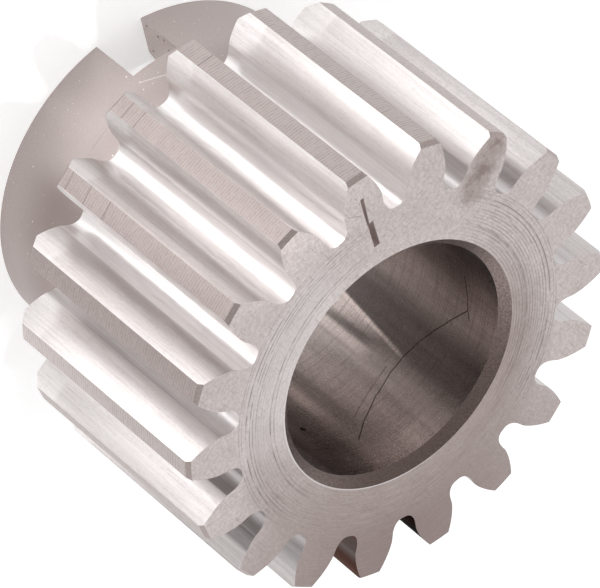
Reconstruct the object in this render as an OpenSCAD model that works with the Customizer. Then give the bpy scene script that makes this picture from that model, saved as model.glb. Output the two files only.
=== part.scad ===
// Spur pinion with a plain slotted hub, turned, bored and hobbed from one piece of steel.
// All lengths are in millimetres. The gear's axis is Z, it stands on the end of its hub at Z = 0,
// and the middle of tooth 1 and of the hub's slot both lie on +X.

/* [Teeth] */
// Number of teeth
teeth_count = 18; // [16:1:24]
// Module, the pitch diameter over the number of teeth
tooth_module = 2.5; // [2.2:0.05:3]
// Pressure angle of the cutter's straight flanks, in degrees
pressure_angle = 20; // [18:0.5:22]
// Height of a tooth above the pitch circle, in modules
addendum_share = 1; // [0.85:0.01:1.05]
// Depth of the cutter below its reference line, in modules
dedendum_share = 1.45; // [1.3:0.01:1.5]
// Distance the cutter stands off, in modules
cutter_shift_share = 0.13; // [0.05:0.01:0.2]
// Radius of the rounding on the cutter's tips, in modules
cutter_tip_share = 0.24; // [0.15:0.01:0.26]
// Length of the teeth along the axis
face_width = 28; // [20:0.5:36]

/* [Tooth ends] */
// Drop of the small bevel on the tips at the front face
front_tip_bevel = 0.32; // [0.1:0.02:0.6]
// Length of that bevel along the axis
front_tip_bevel_length = 0.55; // [0.2:0.05:1]
// Bevel on the tips at the hub's side
rear_tip_bevel = 1; // [0.3:0.1:1.5]

/* [Hub] */
// Outer diameter of the hub
hub_d = 37; // [33:0.5:38]
// Length of the hub behind the teeth
hub_length = 12; // [8:0.5:16]
// Width of the drive slot across the hub's end
slot_width = 5.4; // [4.5:0.1:7]
// Depth of the drive slot from the hub's end
slot_depth = 6.1; // [4.5:0.1:7.5]

/* [Bore] */
// Diameter of the bore
bore_d = 25.5; // [22:0.5:27]
// Bevel where the bore meets the front face
front_bore_bevel = 0.96; // [0.3:0.02:1.2]
// Step of the lead-in where the bore meets the hub's end
rear_bore_bevel = 1.3; // [0.4:0.1:1.6]
// Length of that lead-in along the axis
rear_bore_bevel_length = 2.2; // [1:0.1:3]

/* [Slit] */
// Distance from the axis to the inner end of the slit in tooth 1's front
slit_start = 15.9; // [15:0.1:16.5]
// Length of the slit's wide inner part
slit_wide_length = 3.15; // [2.5:0.05:4]
// Width of the wide part
slit_wide_width = 0.67; // [0.4:0.01:0.9]
// Depth of the wide part
slit_wide_depth = 1.4; // [0.8:0.1:2.5]
// Lean of the wide part, in degrees
slit_lean_angle = 3.6; // [0:0.2:8]
// Offset of the wide part's inner end from the middle of the tooth
slit_offset = 0.52; // [0:0.02:0.8]
// Length of the narrow outer part
slit_narrow_length = 3.35; // [2:0.05:3.8]
// Width of the narrow part at its outer end
slit_narrow_width = 0.42; // [0.2:0.01:0.6]
// Width of the narrow part where it meets the wide part
slit_neck_width = 0.28; // [0.1:0.01:0.4]
// Depth of the narrow part
slit_narrow_depth = 0.8; // [0.3:0.1:1.5]

/* [Hidden] */

// Extra length of every cut and of every blank that is trimmed
overrun = 0.4;
// Number of points along a root curve and along a flank
fillet_points = 9;
flank_points = 7;

// Circles and heights that follow from the sizes above
degrees_per_radian = 180 / PI;
pitch_r = tooth_module * teeth_count / 2;
base_r = pitch_r * cos(pressure_angle);
tip_r = pitch_r + addendum_share * tooth_module;
root_r = pitch_r - (dedendum_share - cutter_shift_share) * tooth_module;
total_height = hub_length + face_width;
tooth_pitch_angle = 360 / teeth_count;

// The rounded corner of the cutter: its radius, how far its centre runs inside the pitch circle,
// and how far it stands from the middle of the cutter's tooth
cutter_tip_r = cutter_tip_share * tooth_module;
cutter_centre_drop = pitch_r - root_r - cutter_tip_r;
cutter_centre_side = PI * tooth_module / 4
    - (dedendum_share * tooth_module - cutter_tip_r) * tan(pressure_angle)
    - cutter_tip_r / cos(pressure_angle);

// Involute function, in degrees
function involute(a) = tan(a) * degrees_per_radian - a;

// Half of a tooth's thickness, as an angle at the radius r
function half_tooth(r) =
    90 / teeth_count
    + 2 * cutter_shift_share * tan(pressure_angle) / teeth_count * degrees_per_radian
    + involute(pressure_angle)
    - involute(acos(min(1, base_r / r)));

// Half of a tooth space, as an angle at the radius r
function half_space(r) = tooth_pitch_angle / 2 - half_tooth(r);

// Point of the root curve that the cutter's corner leaves with its contact line at the angle b.
// It is given as [radius, angle from the middle of the space].
function root_point(b) =
    let (
        roll = cutter_centre_drop / tan(b),
        turn = (roll - cutter_centre_side) / pitch_r * degrees_per_radian,
        x = roll + cutter_tip_r * cos(b),
        y = pitch_r - cutter_centre_drop - cutter_tip_r * sin(b)
    )
    [norm([x, y]), atan2(x, y) - turn];

// The root curve, from the bottom of the space up to where the straight flank cuts wider
root_curve = [
    for (i = [0 : fillet_points])
        let (p = root_point(90 - (90 - pressure_angle) * i / fillet_points))
        if (p[0] <= base_r || half_space(p[0]) < p[1]) p
];
flank_start_r = max(base_r, root_curve[len(root_curve) - 1][0]);

// The flank, carried a little past the tip circle so that the blank trims it
flank_curve = [
    for (i = [1 : flank_points])
        let (r = flank_start_r + (tip_r + overrun - flank_start_r) * i / flank_points)
        [r, half_space(r)]
];

// One side of a tooth space, from its bottom to the tip
space_side = concat(root_curve, flank_curve);
last_point = len(space_side) - 1;

// A point in the plane of the gear
function polar(r, a) = [r * cos(a), r * sin(a)];

// Outline of all the teeth, one space after another
module tooth_outline() {
    polygon([
        for (k = [0 : teeth_count - 1])
            let (middle = (k + 0.5) * tooth_pitch_angle)
            for (i = [-last_point : last_point + 1])
                let (
                    side = i <= 0 ? -1 : 1,
                    p = space_side[i <= 0 ? -i : i - 1]
                )
                polar(p[0], middle + side * p[1])
    ]);
}

// Turned blank of the toothed part, with the bevels at both ends of the tips
module toothed_blank() {
    rotate_extrude($fn = 180)
        polygon([
            [0, hub_length],
            [tip_r - rear_tip_bevel, hub_length],
            [tip_r, hub_length + rear_tip_bevel],
            [tip_r, total_height - front_tip_bevel_length],
            [tip_r - front_tip_bevel, total_height],
            [0, total_height]
        ]);
}

// Toothed part: the outline of the teeth run through the turned blank
module toothed_part() {
    intersection() {
        toothed_blank();
        translate([0, 0, hub_length - overrun])
            linear_extrude(face_width + 2 * overrun)
                tooth_outline();
    }
}

// Plain hub behind the teeth, run a little into them
module hub() {
    cylinder(h = hub_length + overrun, d = hub_d, $fn = 180);
}

// Bore with a bevel at the front and a longer lead-in at the hub's end
module bore_cut() {
    front_step = front_bore_bevel + overrun;
    rear_step = overrun * rear_bore_bevel / rear_bore_bevel_length;
    rotate_extrude($fn = 180)
        polygon([
            [0, -overrun],
            [bore_d / 2 + rear_bore_bevel + rear_step, -overrun],
            [bore_d / 2, rear_bore_bevel_length],
            [bore_d / 2, total_height - front_bore_bevel],
            [bore_d / 2 + front_step, total_height + overrun],
            [0, total_height + overrun]
        ]);
}

// Drive slot through one side of the hub, open at its end
module slot_cut() {
    translate([0, -slot_width / 2, -overrun])
        cube([hub_d / 2 + overrun, slot_width, slot_depth + overrun]);
}

// Slit in the front of tooth 1: a wide inner part that leans, and a narrow outer part
module slit_cut() {
    neck_x = slit_start + slit_wide_length;
    translate([slit_start, -slit_offset, total_height - slit_wide_depth])
        rotate([0, 0, slit_lean_angle])
            translate([0, -slit_wide_width / 2, 0])
                cube([slit_wide_length, slit_wide_width, slit_wide_depth + overrun]);
    translate([0, 0, total_height - slit_narrow_depth])
        linear_extrude(slit_narrow_depth + overrun)
            polygon([
                [neck_x - slit_neck_width / 2, -slit_narrow_width / 2],
                [neck_x + slit_narrow_length, -slit_narrow_width / 2],
                [neck_x + slit_narrow_length, slit_narrow_width / 2],
                [neck_x - slit_neck_width / 2, slit_neck_width - slit_narrow_width / 2]
            ]);
}

// The whole pinion
module pinion() {
    color([0.66, 0.63, 0.62])
        difference() {
            union() {
                toothed_part();
                hub();
            }
            bore_cut();
            slot_cut();
            slit_cut();
        }
}

pinion();
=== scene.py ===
import math

import bmesh
import bpy
from mathutils import Matrix, Vector


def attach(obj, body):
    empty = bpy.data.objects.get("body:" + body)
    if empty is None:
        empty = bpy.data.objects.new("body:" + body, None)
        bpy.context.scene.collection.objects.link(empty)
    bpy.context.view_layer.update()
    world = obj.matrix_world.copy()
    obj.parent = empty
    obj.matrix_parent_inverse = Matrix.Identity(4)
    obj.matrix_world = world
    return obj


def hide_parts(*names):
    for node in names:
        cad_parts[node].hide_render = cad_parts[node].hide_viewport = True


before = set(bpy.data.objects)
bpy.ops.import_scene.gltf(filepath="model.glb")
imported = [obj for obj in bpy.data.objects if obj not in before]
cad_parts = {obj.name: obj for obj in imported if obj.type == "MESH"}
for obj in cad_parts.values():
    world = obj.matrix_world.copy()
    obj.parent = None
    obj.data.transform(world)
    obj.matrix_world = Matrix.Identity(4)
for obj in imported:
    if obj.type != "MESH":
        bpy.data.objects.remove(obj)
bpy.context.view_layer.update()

MM = 0.001

# Camera: which way it stands from its target, its roll, its distance and target in millimetres, and
# its lens and sensor
CAMERA_AZIMUTH, CAMERA_ELEVATION, CAMERA_ROLL = (math.radians(d) for d in (25.817, 39.174, 128.975))
CAMERA_DISTANCE = 636.18
CAMERA_TARGET = (-0.309, 0.638, 24.957)
CAMERA_LENS = 394.126
SENSOR_WIDTH = 36.0
# Nearest and farthest distance that the camera sees, in metres
CAMERA_NEAR, CAMERA_FAR = 0.01, 20.0


def direction(azimuth, elevation):
    """A unit vector from angles in radians, the azimuth from +X towards +Y."""
    return Vector((math.cos(azimuth) * math.cos(elevation), math.sin(azimuth) * math.cos(elevation),
                   math.sin(elevation)))


def make_camera():
    """The camera, at the photograph's viewing angle."""
    data = bpy.data.cameras.new("camera")
    data.sensor_width = SENSOR_WIDTH
    data.sensor_fit = "HORIZONTAL"
    data.lens = CAMERA_LENS
    data.clip_start = CAMERA_NEAR
    data.clip_end = CAMERA_FAR
    camera = bpy.data.objects.new("camera", data)
    bpy.context.scene.collection.objects.link(camera)
    toward = direction(CAMERA_AZIMUTH, CAMERA_ELEVATION)
    turn = toward.to_track_quat("Z", "Y").to_matrix() @ Matrix.Rotation(CAMERA_ROLL, 3, "Z")
    place = (Vector(CAMERA_TARGET) + toward * CAMERA_DISTANCE) * MM
    camera.matrix_world = Matrix.Translation(place) @ turn.to_4x4()
    bpy.context.scene.camera = camera


make_camera()

# The gear's sizes in millimetres, the same as the CAD part's
TEETH = 18
MODULE = 2.5
PRESSURE = math.radians(20)
# Height and depth of the teeth, the cutter's shift and the radius of its tips, in modules
ADDENDUM, DEDENDUM, SHIFT, CUTTER_TIP = 1.0, 1.45, 0.13, 0.24
HUB_LENGTH, FACE_WIDTH = 12.0, 28.0
TOP = HUB_LENGTH + FACE_WIDTH
# Bevels on the tips: drop and length at the front, and the one at the hub's side
FRONT_TIP, FRONT_TIP_LENGTH, REAR_TIP = 0.32, 0.55, 1.0
HUB_R = 18.5
SLOT_W, SLOT_D = 5.4, 6.1
BORE_R = 12.75
FRONT_BEVEL, REAR_BEVEL, REAR_BEVEL_LENGTH = 0.96, 1.3, 2.2

# Circles that follow from the sizes, and the cutter's rounded corner: its radius, how far its centre
# runs inside the pitch circle, and how far it stands from the middle of the cutter's tooth
PITCH_R = MODULE * TEETH / 2
BASE_R = PITCH_R * math.cos(PRESSURE)
TIP_R = PITCH_R + ADDENDUM * MODULE
ROOT_R = PITCH_R - (DEDENDUM - SHIFT) * MODULE
RHO = CUTTER_TIP * MODULE
DROP = PITCH_R - ROOT_R - RHO
SIDE = math.pi * MODULE / 4 - (DEDENDUM * MODULE - RHO) * math.tan(PRESSURE) - RHO / math.cos(PRESSURE)
# Angle from one tooth to the next
STEP = 2 * math.pi / TEETH

# How finely the mesh is divided: along a root curve, up a flank, across a tooth and along the axis
ROOT_POINTS, FLANK_POINTS, ACROSS, ALONG = 22, 14, 8, 6
# Radii and heights of the mesh's extra rings of points on the front face, in the bore and on the hub
FACE_RINGS = (17.6, 16.2, 14.9)
BORE_RINGS = (33.0, 27.0, 21.0, 15.0, 9.0)
HUB_RINGS = (4.0, 8.0)


def involute(a):
    """The involute function, in radians."""
    return math.tan(a) - a


def half_tooth(r):
    """Half of a tooth's thickness at the radius r, in radians."""
    return (math.pi / 2 / TEETH + 2 * SHIFT * math.tan(PRESSURE) / TEETH
            + involute(PRESSURE) - involute(math.acos(min(1.0, BASE_R / r))))


def half_space(r):
    """Half of a tooth space at the radius r, in radians."""
    return STEP / 2 - half_tooth(r)


def root_point(b):
    """A point of the curve that the cutter's corner leaves: (radius, angle from the space's middle)."""
    roll = DROP / math.tan(b)
    turn = (roll - SIDE) / PITCH_R
    x = roll + RHO * math.cos(b)
    y = PITCH_R - DROP - RHO * math.sin(b)
    return math.hypot(x, y), math.atan2(x, y) - turn


def side_profile():
    """One side of a tooth space from its middle to the tip, as (radius, angle from the space's middle)."""
    points = [(ROOT_R, 0.0)]
    for i in range(ROOT_POINTS + 1):
        b = math.pi / 2 - (math.pi / 2 - PRESSURE) * i / ROOT_POINTS
        r, a = root_point(b)
        if r <= BASE_R or half_space(r) < a:
            points.append((r, a))
    start = max(BASE_R, points[-1][0])
    marks = [start + (TIP_R - start) * i / FLANK_POINTS for i in range(1, FLANK_POINTS + 1)]
    # The nearest points move to where the bevels on the tips start
    for wanted in (TIP_R - REAR_TIP, TIP_R - FRONT_TIP):
        near = min(range(len(marks)), key=lambda i: abs(marks[i] - wanted))
        marks[near] = wanted
    points += [(r, half_space(r)) for r in marks]
    return points


PROFILE = side_profile()
LAST = len(PROFILE) - 1


def row_at(radius):
    """The number of the profile's first point at that radius or outside it."""
    return min(i for i, p in enumerate(PROFILE) if p[0] >= radius - 1e-6)


REAR_ROW = row_at(TIP_R - REAR_TIP)
FRONT_ROW = row_at(TIP_R - FRONT_TIP)


def outward_mesh(name, verts, faces):
    """A closed mesh with its normals turned outwards."""
    mesh = bpy.data.meshes.new(name)
    mesh.from_pydata(verts, [], faces)
    bm = bmesh.new()
    bm.from_mesh(mesh)
    bmesh.ops.recalc_face_normals(bm, faces=bm.faces)
    bm.to_mesh(mesh)
    bm.free()
    return mesh


def steel_mesh():
    """The steel body as a structured mesh, before the drive slot and the slit are cut."""
    verts, index, faces = [], {}, []

    def vert(x, y, z):
        """The number of the vertex at that place, in millimetres, made if there is none yet."""
        key = (round(x, 5), round(y, 5), round(z, 5))
        if key not in index:
            index[key] = len(verts)
            verts.append((x * MM, y * MM, z * MM))
        return index[key]

    def polar(r, a, z):
        return vert(r * math.cos(a), r * math.sin(a), z)

    def grid(rows):
        """Quads between neighbouring rows of vertex numbers."""
        for a, b in zip(rows, rows[1:]):
            for i in range(len(a) - 1):
                q = []
                for v in (a[i], a[i + 1], b[i + 1], b[i]):
                    if v not in q:
                        q.append(v)
                if len(q) > 2:
                    faces.append(q)

    def front_z(r):
        """Height of the teeth's front end at the radius r."""
        return TOP - max(0.0, (r - TIP_R + FRONT_TIP) / FRONT_TIP) * FRONT_TIP_LENGTH

    def rear_z(r):
        """Height of the teeth's rear end at the radius r."""
        return HUB_LENGTH + max(0.0, r - TIP_R + REAR_TIP)

    def rung(k, i, z, straight=True):
        """A row of points across tooth k at the profile's row i, on a straight line or on a circle."""
        r, a = PROFILE[i]
        half = STEP / 2 - a
        row = []
        for j in range(ACROSS + 1):
            t = 2 * j / ACROSS - 1
            if straight:
                x, y = r * math.cos(half), r * math.sin(half) * t
                c, s = math.cos(k * STEP), math.sin(k * STEP)
                row.append(vert(x * c - y * s, x * s + y * c, z))
            else:
                row.append(polar(r, k * STEP + half * t, z))
        return row

    def ring(k, r, z):
        """Points at the radius r under the lowest rung of tooth k, at that rung's angles."""
        half = STEP / 2
        row = []
        for j in range(ACROSS + 1):
            t = 2 * j / ACROSS - 1
            a = math.atan2(math.sin(half) * t, math.cos(half))
            row.append(polar(r, k * STEP + a, z))
        return row

    def heights(r):
        """Even steps along the axis from the teeth's rear end to their front end."""
        low, high = rear_z(r), front_z(r)
        return [low + (high - low) * j / ALONG for j in range(ALONG + 1)]

    for k in range(TEETH):
        # Flanks and roots
        for side in (-1, 1):
            rows = []
            for r, a in PROFILE:
                angle = k * STEP + side * (STEP / 2 - a)
                rows.append([polar(r, angle, z) for z in heights(r)])
            grid(rows)
        # Tip land
        grid([rung(k, LAST, z, False) for z in heights(TIP_R)])
        # Bevels of the tip at the front and at the rear
        grid([rung(k, i, front_z(PROFILE[i][0]), False) for i in range(FRONT_ROW, LAST + 1)])
        grid([rung(k, i, rear_z(PROFILE[i][0]), False) for i in range(REAR_ROW, LAST + 1)])
        # Flat ends of the teeth
        for z, top_row in ((TOP, FRONT_ROW), (HUB_LENGTH, REAR_ROW)):
            grid([rung(k, i, z, i < top_row) for i in range(0, top_row + 1)])
        # Front face in to the bore, bore, hub end, hub, and the shoulder behind the teeth
        rows = [rung(k, 0, TOP)]
        for r in (*FACE_RINGS, BORE_R + FRONT_BEVEL):
            rows.append(ring(k, r, TOP))
        for z in (TOP - FRONT_BEVEL, *BORE_RINGS, REAR_BEVEL_LENGTH):
            rows.append(ring(k, BORE_R, z))
        rows.append(ring(k, BORE_R + REAR_BEVEL, 0.0))
        for z in (0.0, *HUB_RINGS, HUB_LENGTH):
            rows.append(ring(k, HUB_R, z))
        rows.append(rung(k, 0, HUB_LENGTH))
        grid(rows)

    return outward_mesh("pinion_steel", verts, faces)


def prism(name, outline, z0, z1):
    """A closed prism over an outline of millimetre points, to cut with."""
    count = len(outline)
    verts = [(x * MM, y * MM, z * MM) for z in (z0, z1) for x, y in outline]
    faces = [list(range(count))[::-1], list(range(count, 2 * count))]
    faces += [[i, (i + 1) % count, count + (i + 1) % count, count + i] for i in range(count)]
    obj = bpy.data.objects.new(name, outward_mesh(name, verts, faces))
    bpy.context.scene.collection.objects.link(obj)
    return obj


# The slit: a wide inner part that leans, and a narrow outer part
SLIT_START, SLIT_WIDE_LENGTH, SLIT_WIDE_W, SLIT_WIDE_DEPTH = 15.9, 3.15, 0.67, 1.4
SLIT_LEAN, SLIT_OFFSET = math.radians(3.6), 0.52
SLIT_NARROW_LENGTH, SLIT_NARROW_W, SLIT_NECK_W, SLIT_NARROW_DEPTH = 3.35, 0.42, 0.28, 0.8
# Where the slot's cutter starts and ends along X, and how far the cutters run past the steel's ends
SLOT_CUT_START, SLOT_CUT_END = 6, 20
OVERRUN = 1


def lean(x, y):
    """A point of the slit's wide part, from its inner end."""
    return (SLIT_START + x * math.cos(SLIT_LEAN) - y * math.sin(SLIT_LEAN),
            -SLIT_OFFSET + x * math.sin(SLIT_LEAN) + y * math.cos(SLIT_LEAN))


NECK = SLIT_START + SLIT_WIDE_LENGTH
cutters = [
    prism("cut_slot", [
        (SLOT_CUT_START, -SLOT_W / 2), (SLOT_CUT_END, -SLOT_W / 2),
        (SLOT_CUT_END, SLOT_W / 2), (SLOT_CUT_START, SLOT_W / 2)],
        -OVERRUN, SLOT_D),
    prism("cut_slit_wide", [
        lean(0, -SLIT_WIDE_W / 2), lean(SLIT_WIDE_LENGTH, -SLIT_WIDE_W / 2),
        lean(SLIT_WIDE_LENGTH, SLIT_WIDE_W / 2), lean(0, SLIT_WIDE_W / 2)],
        TOP - SLIT_WIDE_DEPTH, TOP + OVERRUN),
    prism("cut_slit_narrow", [
        (NECK - SLIT_NECK_W / 2, -SLIT_NARROW_W / 2),
        (NECK + SLIT_NARROW_LENGTH, -SLIT_NARROW_W / 2),
        (NECK + SLIT_NARROW_LENGTH, SLIT_NARROW_W / 2),
        (NECK - SLIT_NECK_W / 2, SLIT_NECK_W - SLIT_NARROW_W / 2)],
        TOP - SLIT_NARROW_DEPTH, TOP + OVERRUN),
]
steel = bpy.data.objects.new("pinion_steel", steel_mesh())
bpy.context.scene.collection.objects.link(steel)
steel.data.shade_smooth()
# The rounding marks its faces with the second material slot, and they become the edges' zone below
EDGE_SLOT = 1
# Width of the rounding, and the turn of the surface above which an edge gets it
ROUNDING_WIDTH = 0.06
ROUNDING_TURN = math.radians(27)
for name in ("body", "edge"):
    steel.data.materials.append(bpy.data.materials.new(name))
for cutter in cutters:
    cut = steel.modifiers.new(cutter.name, "BOOLEAN")
    cut.object = cutter
    cut.operation = "DIFFERENCE"
    cut.solver = "EXACT"
rounding = steel.modifiers.new("rounding", "BEVEL")
rounding.width = ROUNDING_WIDTH * MM
rounding.segments = 2
rounding.limit_method = "ANGLE"
rounding.angle_limit = ROUNDING_TURN
rounding.harden_normals = True
rounding.use_clamp_overlap = True
rounding.material = EDGE_SLOT

depsgraph = bpy.context.evaluated_depsgraph_get()
depsgraph.update()
made = bpy.data.meshes.new_from_object(
    steel.evaluated_get(depsgraph), preserve_all_data_layers=True, depsgraph=depsgraph)
steel.modifiers.clear()
steel.data = made
made.name = "pinion_steel"
for cutter in cutters:
    bpy.data.objects.remove(cutter)


# Material zones, by where a face lies and which way it looks
ZONES = ["steel_face", "steel_flank", "steel_root", "steel_tip", "steel_tip_bevel", "steel_hub",
         "steel_bore", "steel_bore_bevel", "steel_slot", "steel_slit", "steel_edge"]


def zone_of(c, n):
    """The zone of a face with the centre c, in millimetres, and the normal n.

    The small lengths below are how far a face's centre may lie from the surface that it belongs to.
    """
    r = math.hypot(c.x, c.y)
    radial = (n.x * c.x + n.y * c.y) / max(r, 1e-6)
    in_slot = 0.03 < c.z < SLOT_D + 0.02 and c.x > 0 and abs(c.y) < SLOT_W / 2 + 0.02
    if in_slot and BORE_R + 0.05 < r < HUB_R - 0.03:
        return "steel_slot"
    along_slit = SLIT_START - 0.2 < c.x < NECK + SLIT_NARROW_LENGTH + 0.2 and abs(c.y) < 1.0
    if along_slit and TOP - SLIT_WIDE_DEPTH - 0.1 < c.z < TOP - 0.04:
        return "steel_slit"
    if r < BORE_R + 0.1 and radial < -0.9:
        return "steel_bore"
    if r < BORE_R + REAR_BEVEL and radial < -0.2 and (c.z > 38 or c.z < 3):
        return "steel_bore_bevel"
    if c.z < HUB_LENGTH - 0.02:
        return "steel_hub" if r > HUB_R - 0.08 else "steel_face"
    if abs(n.z) > 0.95:
        return "steel_face"
    if r > TIP_R - 0.04 and radial > 0.9:
        return "steel_tip"
    near_end = c.z > TOP - 0.6 or c.z < HUB_LENGTH + 1.05
    if r > TIP_R - REAR_TIP - 0.05 and radial > 0.3 and near_end and abs(n.z) > 0.25:
        return "steel_tip_bevel"
    return "steel_root" if r < BASE_R + 0.06 else "steel_flank"


def assign_zones(mesh):
    """Gives the mesh one material for each zone, and each face its own."""
    zones = ["steel_edge" if p.material_index == EDGE_SLOT else zone_of(p.center / MM, p.normal)
             for p in mesh.polygons]
    mesh.materials.clear()
    for name in ZONES:
        mesh.materials.append(bpy.data.materials.new(name))
    for p, zone in zip(mesh.polygons, zones):
        p.material_index = ZONES.index(zone)


assign_zones(made)


class Nodes:
    """A short way to write a node tree. All positions in a material are in millimetres."""

    def __init__(self, tree):
        self.tree = tree
        tree.nodes.clear()

    def new(self, kind, **props):
        n = self.tree.nodes.new(kind)
        for k, v in props.items():
            setattr(n, k, v)
        return n

    def link(self, a, b):
        self.tree.links.new(a, b)

    def put(self, value, socket):
        """Links a socket, or sets a plain value."""
        if isinstance(value, bpy.types.NodeSocket):
            self.link(value, socket)
        else:
            socket.default_value = value

    def math(self, op, a, b=0.0, clamp=False):
        n = self.new("ShaderNodeMath", operation=op, use_clamp=clamp)
        self.put(a, n.inputs[0])
        self.put(b, n.inputs[1])
        return n.outputs[0]

    def add(self, a, b):
        return self.math("ADD", a, b)

    def sub(self, a, b):
        return self.math("SUBTRACT", a, b)

    def fold(self, op, values):
        """One operation over all the values, from the first to the last."""
        out = values[0]
        for v in values[1:]:
            out = self.math(op, out, v)
        return out

    def mul(self, *values):
        return self.fold("MULTIPLY", values)

    def most(self, values):
        return self.fold("MAXIMUM", values)

    def least(self, values):
        return self.fold("MINIMUM", values)

    def vmath(self, op, a, b=(0.0, 0.0, 0.0), out="Vector"):
        n = self.new("ShaderNodeVectorMath", operation=op)
        self.put(a, n.inputs[0])
        self.put(b, n.inputs["Scale"] if op == "SCALE" else n.inputs[1])
        return n.outputs[out]

    def xyz(self, x, y, z):
        n = self.new("ShaderNodeCombineXYZ")
        for v, s in zip((x, y, z), n.inputs):
            self.put(v, s)
        return n.outputs[0]

    def noise(self, vector, scale=1.0, detail=2.0, rough=0.5):
        n = self.new("ShaderNodeTexNoise")
        self.put(vector, n.inputs["Vector"])
        n.inputs["Scale"].default_value = scale
        n.inputs["Detail"].default_value = detail
        n.inputs["Roughness"].default_value = rough
        return n.outputs["Fac"]

    def span(self, value, a, b, c=0.0, d=1.0, smooth=True):
        """Value from a..b carried to c..d, and held there."""
        n = self.new("ShaderNodeMapRange", interpolation_type="SMOOTHSTEP" if smooth else "LINEAR")
        self.put(value, n.inputs["Value"])
        for v, s in zip((a, b, c, d), ("From Min", "From Max", "To Min", "To Max")):
            self.put(v, n.inputs[s])
        return n.outputs["Result"]

    def mix(self, fac, a, b):
        """The colour a where fac is 0 and b where it is 1."""
        n = self.new("ShaderNodeMix", data_type="RGBA")
        self.put(fac, n.inputs[0])
        for value, socket in ((a, n.inputs[6]), (b, n.inputs[7])):
            self.put(value if isinstance(value, bpy.types.NodeSocket) else (*value, 1.0), socket)
        return n.outputs[2]

    def segment(self, p, a, b):
        """Distance from p to the straight line between the points a and b."""
        a, b = Vector(a), Vector(b)
        d = b - a
        from_a = self.vmath("SUBTRACT", p, tuple(a))
        t = self.vmath("DOT_PRODUCT", from_a, tuple(d / d.length_squared), out="Value")
        t = self.math("ADD", t, 0.0, clamp=True)
        return self.vmath("DISTANCE", from_a, self.vmath("SCALE", tuple(d), t), out="Value")

    def line(self, distance, width):
        """1 on a line of that width and 0 beside it."""
        return self.span(distance, width * 0.45, width, 1.0, 0.0)

    def bump(self, height, distance, strength=1.0):
        n = self.new("ShaderNodeBump")
        self.put(height, n.inputs["Height"])
        n.inputs["Strength"].default_value = strength
        n.inputs["Distance"].default_value = distance
        return n.outputs[0]


# Tints of what the steel mirrors on edge: plain, and the dim and dark ones of the painted dark reflections in
# the tooth spaces on one side
PLAIN_TINT, DIM_REFLECTION_TINT, DARK_TINT = (1.0, 1.0, 1.0), (0.55, 0.43, 0.4), (0.05, 0.04, 0.04)


class Steel(Nodes):
    """The node tree of one of the steel's finishes."""

    def __init__(self, name):
        mat = bpy.data.materials[name]
        mat.use_nodes = True
        super().__init__(mat.node_tree)
        coord = self.new("ShaderNodeTexCoord")
        self.p = self.vmath("SCALE", coord.outputs["Object"], 1 / MM)
        sep = self.new("ShaderNodeSeparateXYZ")
        self.link(self.p, sep.inputs[0])
        self.x, self.y, self.z = sep.outputs
        flat = self.vmath("MULTIPLY", self.p, (1.0, 1.0, 0.0))
        self.r = self.vmath("LENGTH", flat, out="Value")
        self.a = self.math("ARCTAN2", self.y, self.x)

    def around(self, start, end, c=0.0, d=1.0, smooth=True):
        """The angle round the axis, with start..end in degrees carried to c..d."""
        return self.span(self.a, math.radians(start), math.radians(end), c, d, smooth)

    def toward(self, angle):
        """1 where the angle round the axis is that one, in degrees, and -1 opposite it."""
        return self.math("COSINE", self.sub(self.a, math.radians(angle)))

    def drawn(self, across, along, detail=3.0, rough=0.6):
        """Noise with one scale across the axis and another along it."""
        return self.noise(self.vmath("MULTIPLY", self.p, (across, across, along)), 1.0, detail, rough)

    def scratches(self, angle, seed, width=0.15, length=2.5):
        """Sparse fine lines in the plane across the axis, at an angle in degrees."""
        c, s = math.cos(math.radians(angle)), math.sin(math.radians(angle))
        along = self.add(self.mul(self.x, c), self.mul(self.y, s))
        across = self.sub(self.mul(self.y, c), self.mul(self.x, s))
        place = self.xyz(self.mul(along, 1 / length), self.mul(across, 1 / width), seed)
        return self.span(self.noise(place, 1.0, 0.0), 0.66, 0.78)

    def near_front(self):
        """1 at the front end of the tooth spaces, and 0 behind their middle."""
        return self.span(self.z, 23.0, 36.0)

    def painted_dark_reflection(self):
        """Painted dark reflection: the tint of what the steel mirrors when it is seen on edge, darker in the
        spaces on one side.

        It goes on round that side in two steps, and stays plain away from the front.
        """
        near = self.near_front()
        # Painted shade in the reflection: dimmer from 140 degrees and darkest from 162 degrees, near the
        # front
        dimmer_reflection = self.mul(self.around(140, 150), near)
        darkest = self.mul(self.around(162, 170), near)
        return self.mix(darkest, self.mix(dimmer_reflection, PLAIN_TINT, DIM_REFLECTION_TINT), DARK_TINT)

    def finish(self, colour, rough, normal=None, anisotropic=0.0, turned=True, tint=None):
        """Ends the tree. Turned surfaces have their grooves round the axis, the others along it."""
        bsdf = self.new("ShaderNodeBsdfPrincipled")
        bsdf.inputs["Metallic"].default_value = 1.0
        self.put(colour, bsdf.inputs["Base Color"])
        self.put(rough, bsdf.inputs["Roughness"])
        if anisotropic:
            bsdf.inputs["Anisotropic"].default_value = anisotropic
            bsdf.inputs["Anisotropic Rotation"].default_value = 0.25 if turned else 0.0
            tangent = self.new("ShaderNodeTangent", direction_type="RADIAL", axis="Z")
            self.link(tangent.outputs[0], bsdf.inputs["Tangent"])
        if tint is not None:
            self.link(tint, bsdf.inputs["Specular Tint"])
        if normal is not None:
            self.link(normal, bsdf.inputs["Normal"])
        out = self.new("ShaderNodeOutputMaterial")
        self.link(bsdf.outputs[0], out.inputs[0])


# How far green and blue fall behind red in the darkest steel, at a warmth of 1
GREEN_FALL, BLUE_FALL = 0.27, 0.33


def tone(value, warmth=1.0):
    """The steel's grey at a brightness. It is warmer where it is darker."""
    fall = warmth * (1 - value)
    return (value, value * (1 - GREEN_FALL * fall), value * (1 - BLUE_FALL * fall))


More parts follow.
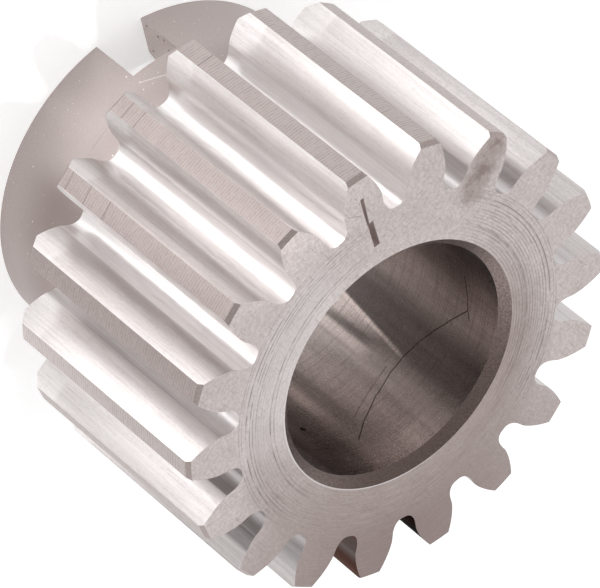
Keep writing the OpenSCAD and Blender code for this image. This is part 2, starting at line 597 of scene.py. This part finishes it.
# Distance between the turned rings of the front face, and between the lines across the tips
RING_FEED, TIP_FEED = 0.325, 0.36
# Radius and strength of the deeper rings
DEEP_RINGS = ((19.15, 0.5), (18.85, 0.4), (18.35, 1.0), (17.9, 0.8), (17.55, 0.6), (17.15, 0.5),
              (15.45, 0.9), (15.02, 0.6))
# Stain on tooth 3's front, from end to end, and the three short strokes of the hairline on tooth 1's
STAIN = ((18.0, -14.9, TOP), (14.9, -12.0, TOP))
HAIRLINE = (((21.3, 1.9, TOP), (20.5, 0.4, TOP)),
            ((22.9, 0.7, TOP), (22.6, 0.55, TOP)),
            ((22.1, 0.4, TOP), (21.8, 0.36, TOP)))


def face_finish():
    """Turned front face: a mottled grain, rings that show most in two sectors, painted shade round one side,
    a painted sheen in one sector, and marks.
    """
    n = Steel("steel_face")

    def sector(middle, half):
        """1 in a sector round a middle angle in degrees, and 0 outside it."""
        off = n.math("ABSOLUTE", n.sub(n.a, math.radians(middle)))
        return n.span(off, math.radians(half * 0.7), math.radians(half * 1.15), 1.0, 0.0)

    drift = n.noise(n.xyz(n.mul(n.a, 1.4), 0.0, 0.0), 1.0, 1.0)
    broken = n.noise(n.xyz(n.mul(n.a, 7.0), n.mul(n.r, 2.2), n.z), 1.0, 4.0, 0.65)
    feed = n.math("SINE", n.add(n.mul(n.r, 2 * math.pi / RING_FEED), n.mul(drift, 3.0)))
    right = n.mul(sector(-88, 44), n.span(n.r, 14.5, 17.0, 0.5, 0.9))
    left = n.mul(sector(76, 54), n.span(n.r, 15.6, 17.0, 0.1, 0.5))
    feed_place = n.mul(n.add(n.most([right, left]), 0.04), n.span(n.r, 15.4, 17.0, 1.0, 0.6),
                       n.span(n.r, 17.6, 18.8, 1.0, 0.0))
    fine_rings = n.mul(n.span(feed, 0.1, 0.9), feed_place, n.span(broken, 0.34, 0.56, 0.2, 1.0))
    circles = n.most([n.mul(n.line(n.math("ABSOLUTE", n.sub(n.r, radius)), 0.085), weight)
                      for radius, weight in DEEP_RINGS])
    circles = n.mul(circles, n.add(n.most([sector(-92, 50), sector(64, 60)]), 0.08),
                    n.span(broken, 0.38, 0.56, 0.15, 1.0))
    # The flat ends at the hub's side have this finish too, without the rings
    rings = n.mul(n.most([fine_rings, circles]), n.span(n.z, TOP - 0.2, TOP - 0.1, smooth=False))

    grain = n.noise(n.p, 2.4, 7.0, 0.74)
    fine = n.noise(n.p, 8.0, 2.0, 0.6)
    clouds = n.noise(n.p, 0.45, 3.0, 0.6)
    dark_marks = n.most([n.scratches(24, 3.0), n.scratches(-58, 9.0, 0.12, 1.6)])
    light_marks = n.most([n.scratches(-20, 15.0, 0.12, 2.2), n.scratches(63, 21.0, 0.12, 1.4),
                          n.scratches(-75, 27.0, 0.14, 1.2)])
    colour = n.mix(n.span(grain, 0.34, 0.66), tone(0.60, 1.3), tone(0.78, 1.3))
    colour = n.mix(n.span(fine, 0.55, 0.7, 0.0, 0.4), colour, tone(0.42))
    colour = n.mix(n.span(clouds, 0.4, 0.65, 0.0, 0.25), colour, tone(0.54))
    colour = n.mix(n.mul(dark_marks, 0.35), colour, tone(0.34))
    colour = n.mix(n.mul(light_marks, 0.3), colour, tone(0.82))
    # Painted sheen: a paler sector of the face
    painted_sheen_face = n.mul(sector(56, 42), n.span(n.r, 17.5, 20.5, 0.28, 0.0))
    colour = n.mix(painted_sheen_face, colour, tone(0.92))
    # Painted shade: the face is darker round one side, and the darker part narrows outwards
    middle = n.span(n.r, 14.5, 17.5, math.radians(194), math.radians(168), smooth=False)
    toward = n.math("COSINE", n.sub(n.a, middle))
    low, high = n.span(n.r, 14.5, 21.5, -0.5, 0.4), n.span(n.r, 14.5, 17.5, 0.6, 1.0)
    side = n.mul(n.span(toward, low, high, smooth=False), n.span(n.r, 14.5, 21.5, 0.6, 0.85))
    colour = n.mix(side, colour, tone(0.30, 1.3))
    arcs = n.noise(n.xyz(n.mul(n.a, 5.0), n.mul(n.r, 9.0), 2.0), 1.0, 2.0, 0.6)
    arc_place = n.mul(n.add(n.mul(side, 0.5), 0.1), n.span(n.r, 17.0, 20.0, 1.0, 0.35))
    colour = n.mix(n.mul(n.span(arcs, 0.58, 0.70), arc_place), colour, tone(0.7, 1.3))
    colour = n.mix(n.mul(n.span(arcs, 0.30, 0.42, 1.0, 0.0), arc_place), colour, tone(0.2, 1.3))
    colour = n.mix(n.mul(rings, 0.65), colour, tone(0.19))
    # The edge of the bore's bevel catches the light on the left
    rim_side = n.span(n.toward(125), 0.3, 0.8)
    rim = n.mul(n.span(n.r, 13.80, 13.90, 1.0, 0.0), rim_side)
    colour = n.mix(n.mul(rim, 0.5), colour, tone(0.92))
    stain_reach = n.add(n.segment(n.p, *STAIN), n.mul(n.noise(n.p, 0.8, 4.0, 0.7), 2.4))
    colour = n.mix(n.span(stain_reach, 2.0, 3.8, 0.5, 0.0), colour, tone(0.32, 1.3))
    smear = n.noise(n.xyz(n.mul(n.a, 12.0), n.mul(n.r, 0.5), 4.0), 1.0, 4.0, 0.7)
    blots = n.mul(n.span(stain_reach, 1.6, 3.0, 0.5, 0.0), n.span(smear, 0.45, 0.62))
    colour = n.mix(blots, colour, tone(0.18, 1.3))
    hairline = n.line(n.least([n.segment(n.p, *stroke) for stroke in HAIRLINE]), 0.06)
    colour = n.mix(n.mul(hairline, 0.4), colour, tone(0.18))
    rise = n.add(n.mul(grain, 0.8), n.mul(fine, 0.3))
    height = n.sub(rise, n.add(n.mul(rings, 1.6), n.mul(hairline, 2.0)))
    n.finish(colour, n.span(grain, 0.3, 0.7, 0.40, 0.52), n.bump(height, 0.005 * MM, 0.8), anisotropic=0.3)


def flank_finish():
    """Flanks: satin, with streaks along the axis and specks.

    The room that the flanks mirror isn't there, so what each one mirrors more darkly or brightly than
    the floor is in its colour. A tooth stands every 20 degrees, and the angles say which flanks are meant.
    """
    n = Steel("steel_flank")
    streaks = n.drawn(2.6, 0.05, 4.0, 0.62)
    thin = n.drawn(9.0, 0.16)
    soft = n.drawn(1.2, 0.12)
    specks = n.drawn(5.0, 2.5)
    speckled = n.around(-60, -45, 1.0, 0.6)
    # Painted highlights: paler low on the flanks round -50 degrees and at the flanks' rear end
    painted_highlight_low = n.mul(n.span(n.r, 21.6, 23.6, 0.8, 0.0), n.around(-56, -44))
    painted_highlight_rear = n.mul(n.span(n.z, 15.4, 16.2, 0.3, 0.0), n.span(n.r, 22.0, 23.0))
    colour = n.mix(n.span(streaks, 0.34, 0.66), tone(0.56, 0.5), tone(0.66, 0.5))
    colour = n.mix(n.most([painted_highlight_low, painted_highlight_rear]), colour, tone(0.92, 1.5))
    colour = n.mix(n.span(thin, 0.56, 0.70, 0.0, 0.3), colour, tone(0.34))
    colour = n.mix(n.span(thin, 0.30, 0.42, 0.3, 0.0), colour, tone(0.72))
    colour = n.mix(n.mul(n.span(specks, 0.56, 0.66), speckled, 0.35), colour, tone(0.8))
    colour = n.mix(n.mul(n.span(specks, 0.32, 0.44, 1.0, 0.0), speckled, 0.3), colour, tone(0.36, 1.2))
    # Painted shade: darker flanks on the left, low down round -52 degrees, and on the right
    painted_shade_left = n.mul(n.around(20, 34), n.span(n.r, 21.6, 24.6, 0.4, 0.17), n.around(66, 74, 1.0, 0.1))
    painted_shade_low = n.mul(n.around(-50, -54), n.span(n.r, 21.4, 23.0, 0.45, 0.0), n.around(-64, -58))
    painted_shade_right = n.around(-66, -94, 0.1, 0.25)
    colour = n.mix(n.most([painted_shade_left, painted_shade_low, painted_shade_right]), colour, tone(0.2, 1.2))
    # Painted highlight on the flank round 42 to 49 degrees
    painted_highlight_left = n.mul(n.around(41, 42), n.span(n.r, 22.2, 23.4), n.around(48, 50, 0.9, 0.0),
                        n.span(n.r, 23.9, 24.6, 1.0, 0.6))
    colour = n.mix(painted_highlight_left, colour, tone(0.92, 1.5))
    bits = n.drawn(6.0, 0.9, 4.0, 0.7)
    bits = n.mul(n.span(bits, 0.55, 0.68), n.span(n.r, 21.8, 22.8, 0.0, 0.25))
    colour = n.mix(bits, colour, tone(0.34, 1.2))
    # The last three flanks in view on one side mirror dark things
    first = n.mul(n.around(100, 110), n.span(n.r, 22.7, 23.3, 0.7, 0.2), n.around(122, 130, 1.0, 0.0))
    second = n.mul(n.around(122, 130), n.span(n.r, 21.6, 24.0, 0.62, 0.1))
    third = n.mul(n.around(140, 150), n.span(n.r, 21.6, 23.2, 0.88, 0.97), n.near_front())
    colour = n.mix(n.most([first, second, third]), colour, tone(0.04))
    n.finish(colour, n.span(soft, 0.35, 0.65, 0.29, 0.36), n.bump(streaks, 0.006 * MM, 0.8),
             anisotropic=0.6, turned=False, tint=n.painted_dark_reflection())


def root_finish():
    """Roots: bright, as the hob leaves them, with painted shade in the spaces on one side."""
    n = Steel("steel_root")
    streaks = n.drawn(3.4, 0.05, 4.0, 0.62)
    thin = n.drawn(10.0, 0.2)
    # Painted shade in the spaces on both sides and, near the front, in the far spaces
    painted_shade_side = n.most([n.around(62, 95, 0.0, 0.42),
                        n.around(-38, -22, 0.2, 0.0),
                        n.mul(n.around(135, 145, 0.0, 0.95), n.near_front())])
    colour = n.mix(n.span(streaks, 0.34, 0.66), tone(0.64, 0.5), tone(0.72, 0.5))
    colour = n.mix(n.span(thin, 0.58, 0.7, 0.0, 0.25), colour, tone(0.45))
    colour = n.mix(painted_shade_side, colour, tone(0.07, 1.1))
    n.finish(colour, n.span(streaks, 0.35, 0.65, 0.28, 0.32), n.bump(streaks, 0.002 * MM, 0.7),
             anisotropic=0.6, turned=False, tint=n.painted_dark_reflection())


# Deep lines across the tips: how many teeth on from +X towards +Y, and the height. Each line reaches
# TIP_MARK_REACH to both sides of the tooth's middle.
TIP_MARKS = ((2, 13.9), (2, 16.8), (2, 19.9), (1, 14.6), (1, 16.5), (0, 16.2))
TIP_MARK_REACH = math.radians(2.6)


def tip_finish():
    """Tip lands: the turned outside, with fine lines across the teeth, a few deep ones, and a painted sheen
    on some teeth.
    """
    n = Steel("steel_tip")
    wobble = n.drawn(0.5, 0.7, 2.0, 0.5)
    lines = n.math("SINE", n.add(n.mul(n.z, 2 * math.pi / TIP_FEED), n.mul(wobble, 8.0)))
    broken = n.drawn(1.3, 4.0)
    dark = n.mul(n.span(lines, -1.0, -0.1, 1.0, 0.0), n.span(broken, 0.38, 0.6, 0.15, 1.0))
    marks = []
    for tooth, z in TIP_MARKS:
        ends = [tooth * STEP + side * TIP_MARK_REACH for side in (-1, 1)]
        corners = [(TIP_R * math.cos(a), TIP_R * math.sin(a), z + 0.12 * i) for i, a in enumerate(ends)]
        marks.append(n.segment(n.p, *corners))
    deep = n.line(n.least(marks), 0.09)
    grain = n.noise(n.p, 5.0, 4.0, 0.66)
    colour = n.mix(n.span(grain, 0.34, 0.66), tone(0.40, 0.9), tone(0.48, 0.9))
    # Painted sheen: the tips are paler over two ranges of angle
    painted_sheen_tips = n.most([n.around(20, -44, 0.0, 0.8, smooth=False),
                    n.around(58, 84, 0.0, 0.65)])
    colour = n.mix(painted_sheen_tips, colour, tone(0.66, 0.9))
    colour = n.mix(n.mul(dark, 0.5), colour, tone(0.27))
    colour = n.mix(n.mul(deep, 0.6), colour, tone(0.16))
    height = n.sub(n.mul(grain, 0.3), n.add(dark, n.mul(deep, 3.0)))
    n.finish(colour, n.span(grain, 0.3, 0.7, 0.54, 0.64), n.bump(height, 0.004 * MM, 0.8), anisotropic=0.6)


def tip_bevel_finish():
    """The small bevels on the tips."""
    n = Steel("steel_tip_bevel")
    grain = n.noise(n.p, 5.5, 3.0, 0.6)
    n.finish(n.mix(n.span(grain, 0.3, 0.7), tone(0.34), tone(0.44)), n.span(grain, 0.3, 0.7, 0.32, 0.42),
             anisotropic=0.3)


def bore_bevel_finish():
    """The bevels at the bore's ends, with painted shade round one side."""
    n = Steel("steel_bore_bevel")
    grain = n.noise(n.p, 5.5, 3.0, 0.6)
    colour = n.mix(n.span(grain, 0.36, 0.64), tone(0.23, 1.2), tone(0.41, 1.2))
    # Painted shade, darkest round 190 degrees
    colour = n.mix(n.span(n.toward(190), -0.1, 0.95, 0.0, 0.8), colour, tone(0.08, 1.2))
    n.finish(colour, n.span(grain, 0.3, 0.7, 0.32, 0.42), anisotropic=0.3)


def hub_finish():
    """Hub: smooth, with a fine grain, pale specks, a run-out line, a pale streak, and painted shade round one
    side and under the teeth.
    """
    n = Steel("steel_hub")
    grain = n.noise(n.p, 7.0, 4.0, 0.7)
    turned = n.noise(n.xyz(n.mul(n.a, 3.0), n.mul(n.z, 7.0), n.r), 1.0, 3.0, 0.6)
    speck = n.span(n.noise(n.p, 3.1, 1.0, 0.3), 0.76, 0.80)
    place = n.xyz(n.mul(n.a, HUB_R), n.z, 0.0)

    def on_hub(angle, z):
        return (math.radians(angle) * HUB_R, z, 0.0)

    run_out = n.line(n.segment(place, on_hub(26, 8.5), on_hub(33.3, 8.5)), 0.09)
    streak = n.line(n.segment(place, on_hub(9.0, 7.3), on_hub(1.5, 8.6)), 0.1)
    colour = n.mix(n.span(grain, 0.3, 0.7), tone(0.44, 0.9), tone(0.51, 0.9))
    # Painted shade round one side and under the teeth
    painted_shade_side = n.mul(n.around(40, 54), n.span(n.z, 1.0, 8.0, 0.05, 0.75), n.around(132, 175, 1.0, 0.0))
    painted_shade_under_teeth = n.span(n.z, 6.5, 10.5, 0.0, 0.3)
    colour = n.mix(n.most([painted_shade_side, painted_shade_under_teeth]), colour, tone(0.25))
    colour = n.mix(n.mul(speck, 0.8), colour, tone(0.85))
    colour = n.mix(n.mul(run_out, 0.3), colour, tone(0.25))
    colour = n.mix(n.mul(streak, 0.5), colour, tone(0.8))
    height = n.add(n.mul(grain, 0.5), n.mul(turned, 0.6))
    n.finish(colour, n.span(grain, 0.3, 0.7, 0.42, 0.5), n.bump(height, 0.003 * MM, 0.7), anisotropic=0.3)


# Bands of painted reflection on the bore: middle and half width in degrees, gain, and the heights between
# which each sets in
BORE_LEVEL = 0.46
BORE_REFLECTION_BANDS = (
    (219, 17, -0.32, 0, 1), (246, 9, 0.12, 0, 1), (186, 12, 0.06, 0, 1),
    (151, 9, -0.16, 36.5, 34), (163, 3.5, 0.24, 32, 26), (171, 4, -0.14, 34, 30),
    (200.5, 3, 0.3, 27, 24), (205, 2.5, -0.14, 27, 24), (262, 7, -0.12, 35, 33),
    (176, 22, 0.32, 33.5, 38), (258, 22, 0.36, 33, 38), (127, 9, 0.4, 32, 36))
# A long scratch with a hook at its end, a faint scratch beside it and a dark spot, as angle and height
BORE_SCRATCH = ((166.4, 34.1), (176, 32.2), (188, 30.6), (200.8, 29.7), (210, 29.7), (219.3, 30.3),
                (228, 31.4), (237.1, 32.9), (246.2, 34.7), (262.4, 33.8))
BORE_FAINT_SCRATCH = ((174, 31.2), (179.7, 30.4), (190, 29.4), (201.7, 28.8))
BORE_HOOK = ((246.2, 34.7), (242.4, 35.2))
BORE_SPOT = (148.3, 30.3)
# The angle of the painted light wedge's middle, and the angle that the wall is unrolled from
BORE_WEDGE = 210
BORE_MIDDLE = 200


def bore_finish():
    """Bore: a bored finish with painted reflections in bands along the axis and a painted light wedge, with a
    long thin scratch and a dark spot.
    """
    n = Steel("steel_bore")
    c, s = math.cos(math.radians(BORE_MIDDLE)), math.sin(math.radians(BORE_MIDDLE))
    away = n.math("ARCTAN2", n.sub(n.mul(n.y, c), n.mul(n.x, s)), n.add(n.mul(n.x, c), n.mul(n.y, s)))
    wall = n.xyz(n.mul(away, BORE_R), n.z, 0.0)

    def turned_to(angle):
        return math.radians((angle - BORE_MIDDLE + 180) % 360 - 180)

    def on_wall(angle, z):
        return (turned_to(angle) * BORE_R, z, 0.0)

    def track(points):
        parts = [n.segment(wall, on_wall(*p), on_wall(*q)) for p, q in zip(points, points[1:])]
        return n.line(n.least(parts), 0.085)

    level = BORE_LEVEL
    for middle, half, gain, low, high in BORE_REFLECTION_BANDS:
        off = n.math("ABSOLUTE", n.sub(away, turned_to(middle)))
        band = n.span(off, math.radians(half * 0.35), math.radians(half * 1.2), gain, 0.0)
        level = n.add(level, n.mul(band, n.span(n.z, low, high)))
    # A painted light wedge that ends in a point, sharp on one side
    wedge_off = n.sub(n.mul(away, 180 / math.pi), BORE_WEDGE - BORE_MIDDLE)
    wedge_half = n.span(n.z, 19.0, 30.0, 6.0, 0.0, smooth=False)
    near_side = n.span(n.sub(wedge_off, wedge_half), -1.2, 1.2, 1.0, 0.0)
    painted_light_wedge = n.mul(n.span(n.add(wedge_off, wedge_half), -1.0, 7.0, 0.0, 1.0), near_side)
    level = n.add(level, n.mul(painted_light_wedge, n.span(n.z, 30.0, 22.0, 0.12, 0.62)))
    # Painted highlight along the wedge's edge
    crest_off = n.math("ABSOLUTE", n.sub(wedge_off, n.sub(wedge_half, 0.9)))
    level = n.add(level, n.mul(n.span(crest_off, 0.2, 1.5, 0.3, 0.0), n.span(n.z, 30.5, 28.5)))
    streaks = n.noise(n.xyz(n.mul(away, 9.0), n.mul(n.z, 0.03), 5.0), 1.0, 4.0, 0.66)
    level = n.mul(level, n.span(streaks, 0.3, 0.6, 0.85, 1.15))
    turned = n.noise(n.xyz(n.mul(away, 2.0), n.mul(n.z, 7.0), 0.0), 1.0, 3.0, 0.6)
    grain = n.noise(n.p, 6.0, 4.0, 0.7)
    colour = n.mix(level, (0.03, 0.024, 0.022), (0.96, 0.845, 0.81))
    colour = n.mix(n.span(turned, 0.48, 0.66, 0.0, 0.35), colour, tone(0.12))
    marks = n.most([n.mul(track(BORE_SCRATCH), 0.9), n.mul(track(BORE_HOOK), 0.9),
                    n.mul(track(BORE_FAINT_SCRATCH), 0.5)])
    spot = n.span(n.vmath("DISTANCE", wall, on_wall(*BORE_SPOT), out="Value"), 0.28, 0.38, 1.0, 0.0)
    colour = n.mix(n.most([marks, spot]), colour, tone(0.02))
    height = n.sub(n.add(n.mul(turned, 0.6), n.mul(grain, 0.4)), n.mul(marks, 1.5))
    n.finish(colour, n.span(grain, 0.3, 0.7, 0.24, 0.34), n.bump(height, 0.004 * MM, 0.8), anisotropic=0.5)


# Pits near the edge of the slot's wall, as x and z
SLOT_PITS = ((17.5, 2.7), (17.65, 3.7), (14.5, 1.0), (17.8, 0.9), (16.6, 4.2))


def slot_finish():
    """Slot walls: milled, with small pits."""
    n = Steel("steel_slot")
    grain = n.noise(n.p, 4.0, 4.0, 0.7)
    pits = n.least([n.vmath("DISTANCE", n.p, (x, -SLOT_W / 2, z), out="Value") for x, z in SLOT_PITS])
    pit = n.line(n.add(pits, n.mul(n.noise(n.p, 6.0, 2.0), 0.1)), 0.26)
    colour = n.mix(n.span(grain, 0.3, 0.7), tone(0.53, 1.2), tone(0.66, 1.2))
    colour = n.mix(n.mul(pit, 0.85), colour, tone(0.06))
    height = n.sub(n.mul(grain, 0.5), pit)
    n.finish(colour, n.span(grain, 0.3, 0.7, 0.42, 0.52), n.bump(height, 0.006 * MM, 0.8))


def edge_finish():
    """Rounded edges: bright, a painted highlight along them."""
    n = Steel("steel_edge")
    grain = n.noise(n.p, 3.0, 3.0, 0.6)
    n.finish(n.mix(n.span(grain, 0.3, 0.7), tone(0.74), tone(0.9)), n.span(grain, 0.3, 0.7, 0.25, 0.4))


def slit_finish():
    """The inside of the slit in tooth 1."""
    n = Steel("steel_slit")
    grain = n.noise(n.p, 6.0, 3.0, 0.6)
    colour = n.mix(n.span(grain, 0.3, 0.7), tone(0.76, 1.5), tone(0.86, 2.5))
    n.finish(colour, n.span(grain, 0.3, 0.7, 0.5, 0.6))


for make in (face_finish, flank_finish, root_finish, tip_finish, tip_bevel_finish, bore_bevel_finish,
             hub_finish, bore_finish, slot_finish, slit_finish, edge_finish):
    make()

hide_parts("pinion")
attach(steel, "root")

# Floor: its half width and its height, just under the hub's end, in metres, its grey, and how much
# lighter the camera and mirrors see it
FLOOR_HALF = 4.0
FLOOR_Z = -5e-5
FLOOR_GREY = 0.8
FLOOR_LIFT = 0.5
# World: its strength, and the azimuth and elevation of its darker part, how dark and how narrow that is
WORLD_STRENGTH = 0.84
DARK_SIDE_AZIMUTH, DARK_SIDE_ELEVATION = math.radians(26), math.radians(15)
DARK_SIDE_SHARE = 0.4
DARK_SIDE_POWER = 4.0
# Lamps: the height they hang at and the radius of each one's bulb in millimetres, and how softly their
# patches end
LAMP_HEIGHT = 500
LAMP_BULB = 8
LAMP_BLEND = 0.4


def make_floor():
    """A plain pale floor. The camera and what mirrors it see it a little lighter, so it shows white."""
    corners = [(x * FLOOR_HALF, y * FLOOR_HALF, FLOOR_Z) for x, y in ((-1, -1), (1, -1), (1, 1), (-1, 1))]
    mesh = bpy.data.meshes.new("floor")
    mesh.from_pydata(corners, [], [(0, 1, 2, 3)])
    floor = bpy.data.objects.new("floor", mesh)
    bpy.context.scene.collection.objects.link(floor)
    mat = bpy.data.materials.new("floor")
    mesh.materials.append(mat)
    mat.use_nodes = True
    n = Nodes(mat.node_tree)
    path = n.new("ShaderNodeLightPath")
    seen = n.most([path.outputs[k] for k in ("Is Camera Ray", "Is Glossy Ray", "Is Transmission Ray")])
    diffuse = n.new("ShaderNodeBsdfDiffuse")
    diffuse.inputs["Color"].default_value = (FLOOR_GREY, FLOOR_GREY, FLOOR_GREY, 1.0)
    glow = n.new("ShaderNodeEmission")
    n.link(n.mul(seen, FLOOR_LIFT), glow.inputs["Strength"])
    both = n.new("ShaderNodeAddShader")
    n.link(diffuse.outputs[0], both.inputs[0])
    n.link(glow.outputs[0], both.inputs[1])
    n.link(both.outputs[0], n.new("ShaderNodeOutputMaterial").inputs[0])


def make_world():
    """An even white room, darker low down on the camera's side."""
    world = bpy.data.worlds.new("studio")
    bpy.context.scene.world = world
    world.use_nodes = True
    n = Nodes(world.node_tree)
    coord = n.new("ShaderNodeTexCoord")
    dark_way = tuple(direction(DARK_SIDE_AZIMUTH, DARK_SIDE_ELEVATION))
    facing = n.vmath("DOT_PRODUCT", coord.outputs["Generated"], dark_way, out="Value")
    dark = n.mul(n.math("POWER", n.math("MAXIMUM", facing, 0.0), DARK_SIDE_POWER), DARK_SIDE_SHARE)
    background = n.new("ShaderNodeBackground")
    background.inputs["Color"].default_value = (1.0, 1.0, 1.0, 1.0)
    n.link(n.mul(n.sub(1.0, dark), WORLD_STRENGTH), background.inputs["Strength"])
    n.link(background.outputs[0], n.new("ShaderNodeOutputWorld").inputs[0])


def floor_spot(name, azimuth, distance, radius, power):
    """A lamp half a metre up that lights a round patch of the floor beside the gear, sizes in millimetres."""
    data = bpy.data.lights.new(name, "SPOT")
    data.energy = power
    data.spot_size = 2 * math.atan(radius / LAMP_HEIGHT)
    data.spot_blend = LAMP_BLEND
    data.shadow_soft_size = LAMP_BULB * MM
    lamp = bpy.data.objects.new(name, data)
    bpy.context.scene.collection.objects.link(lamp)
    a = math.radians(azimuth)
    lamp.location = Vector((distance * math.cos(a), distance * math.sin(a), LAMP_HEIGHT)) * MM


make_floor()
make_world()
# Each lamp's name, azimuth in degrees, distance from the axis, radius of its patch and power
for lamp in (
        ("lamp_bore", 0, 0, 11, 8.5),
        ("lamp_close", 20, 36, 14, 9.0),
        ("lamp_right", -14, 52, 20, 8.5),
        ("lamp_left", 48, 64, 27, 10.0),
        ("lamp_low", 100, 40, 15, 10.0),
        ("lamp_between", 38, 48, 13, 10.0),
        ("lamp_middle", 30, 60, 20, 8.0),
        ("lamp_far", 10, 80, 25, 22.0),
        ("lamp_farther", 28, 106, 26, 65.0)):
    floor_spot(*lamp)

bpy.context.scene.view_settings.view_transform = "Standard"
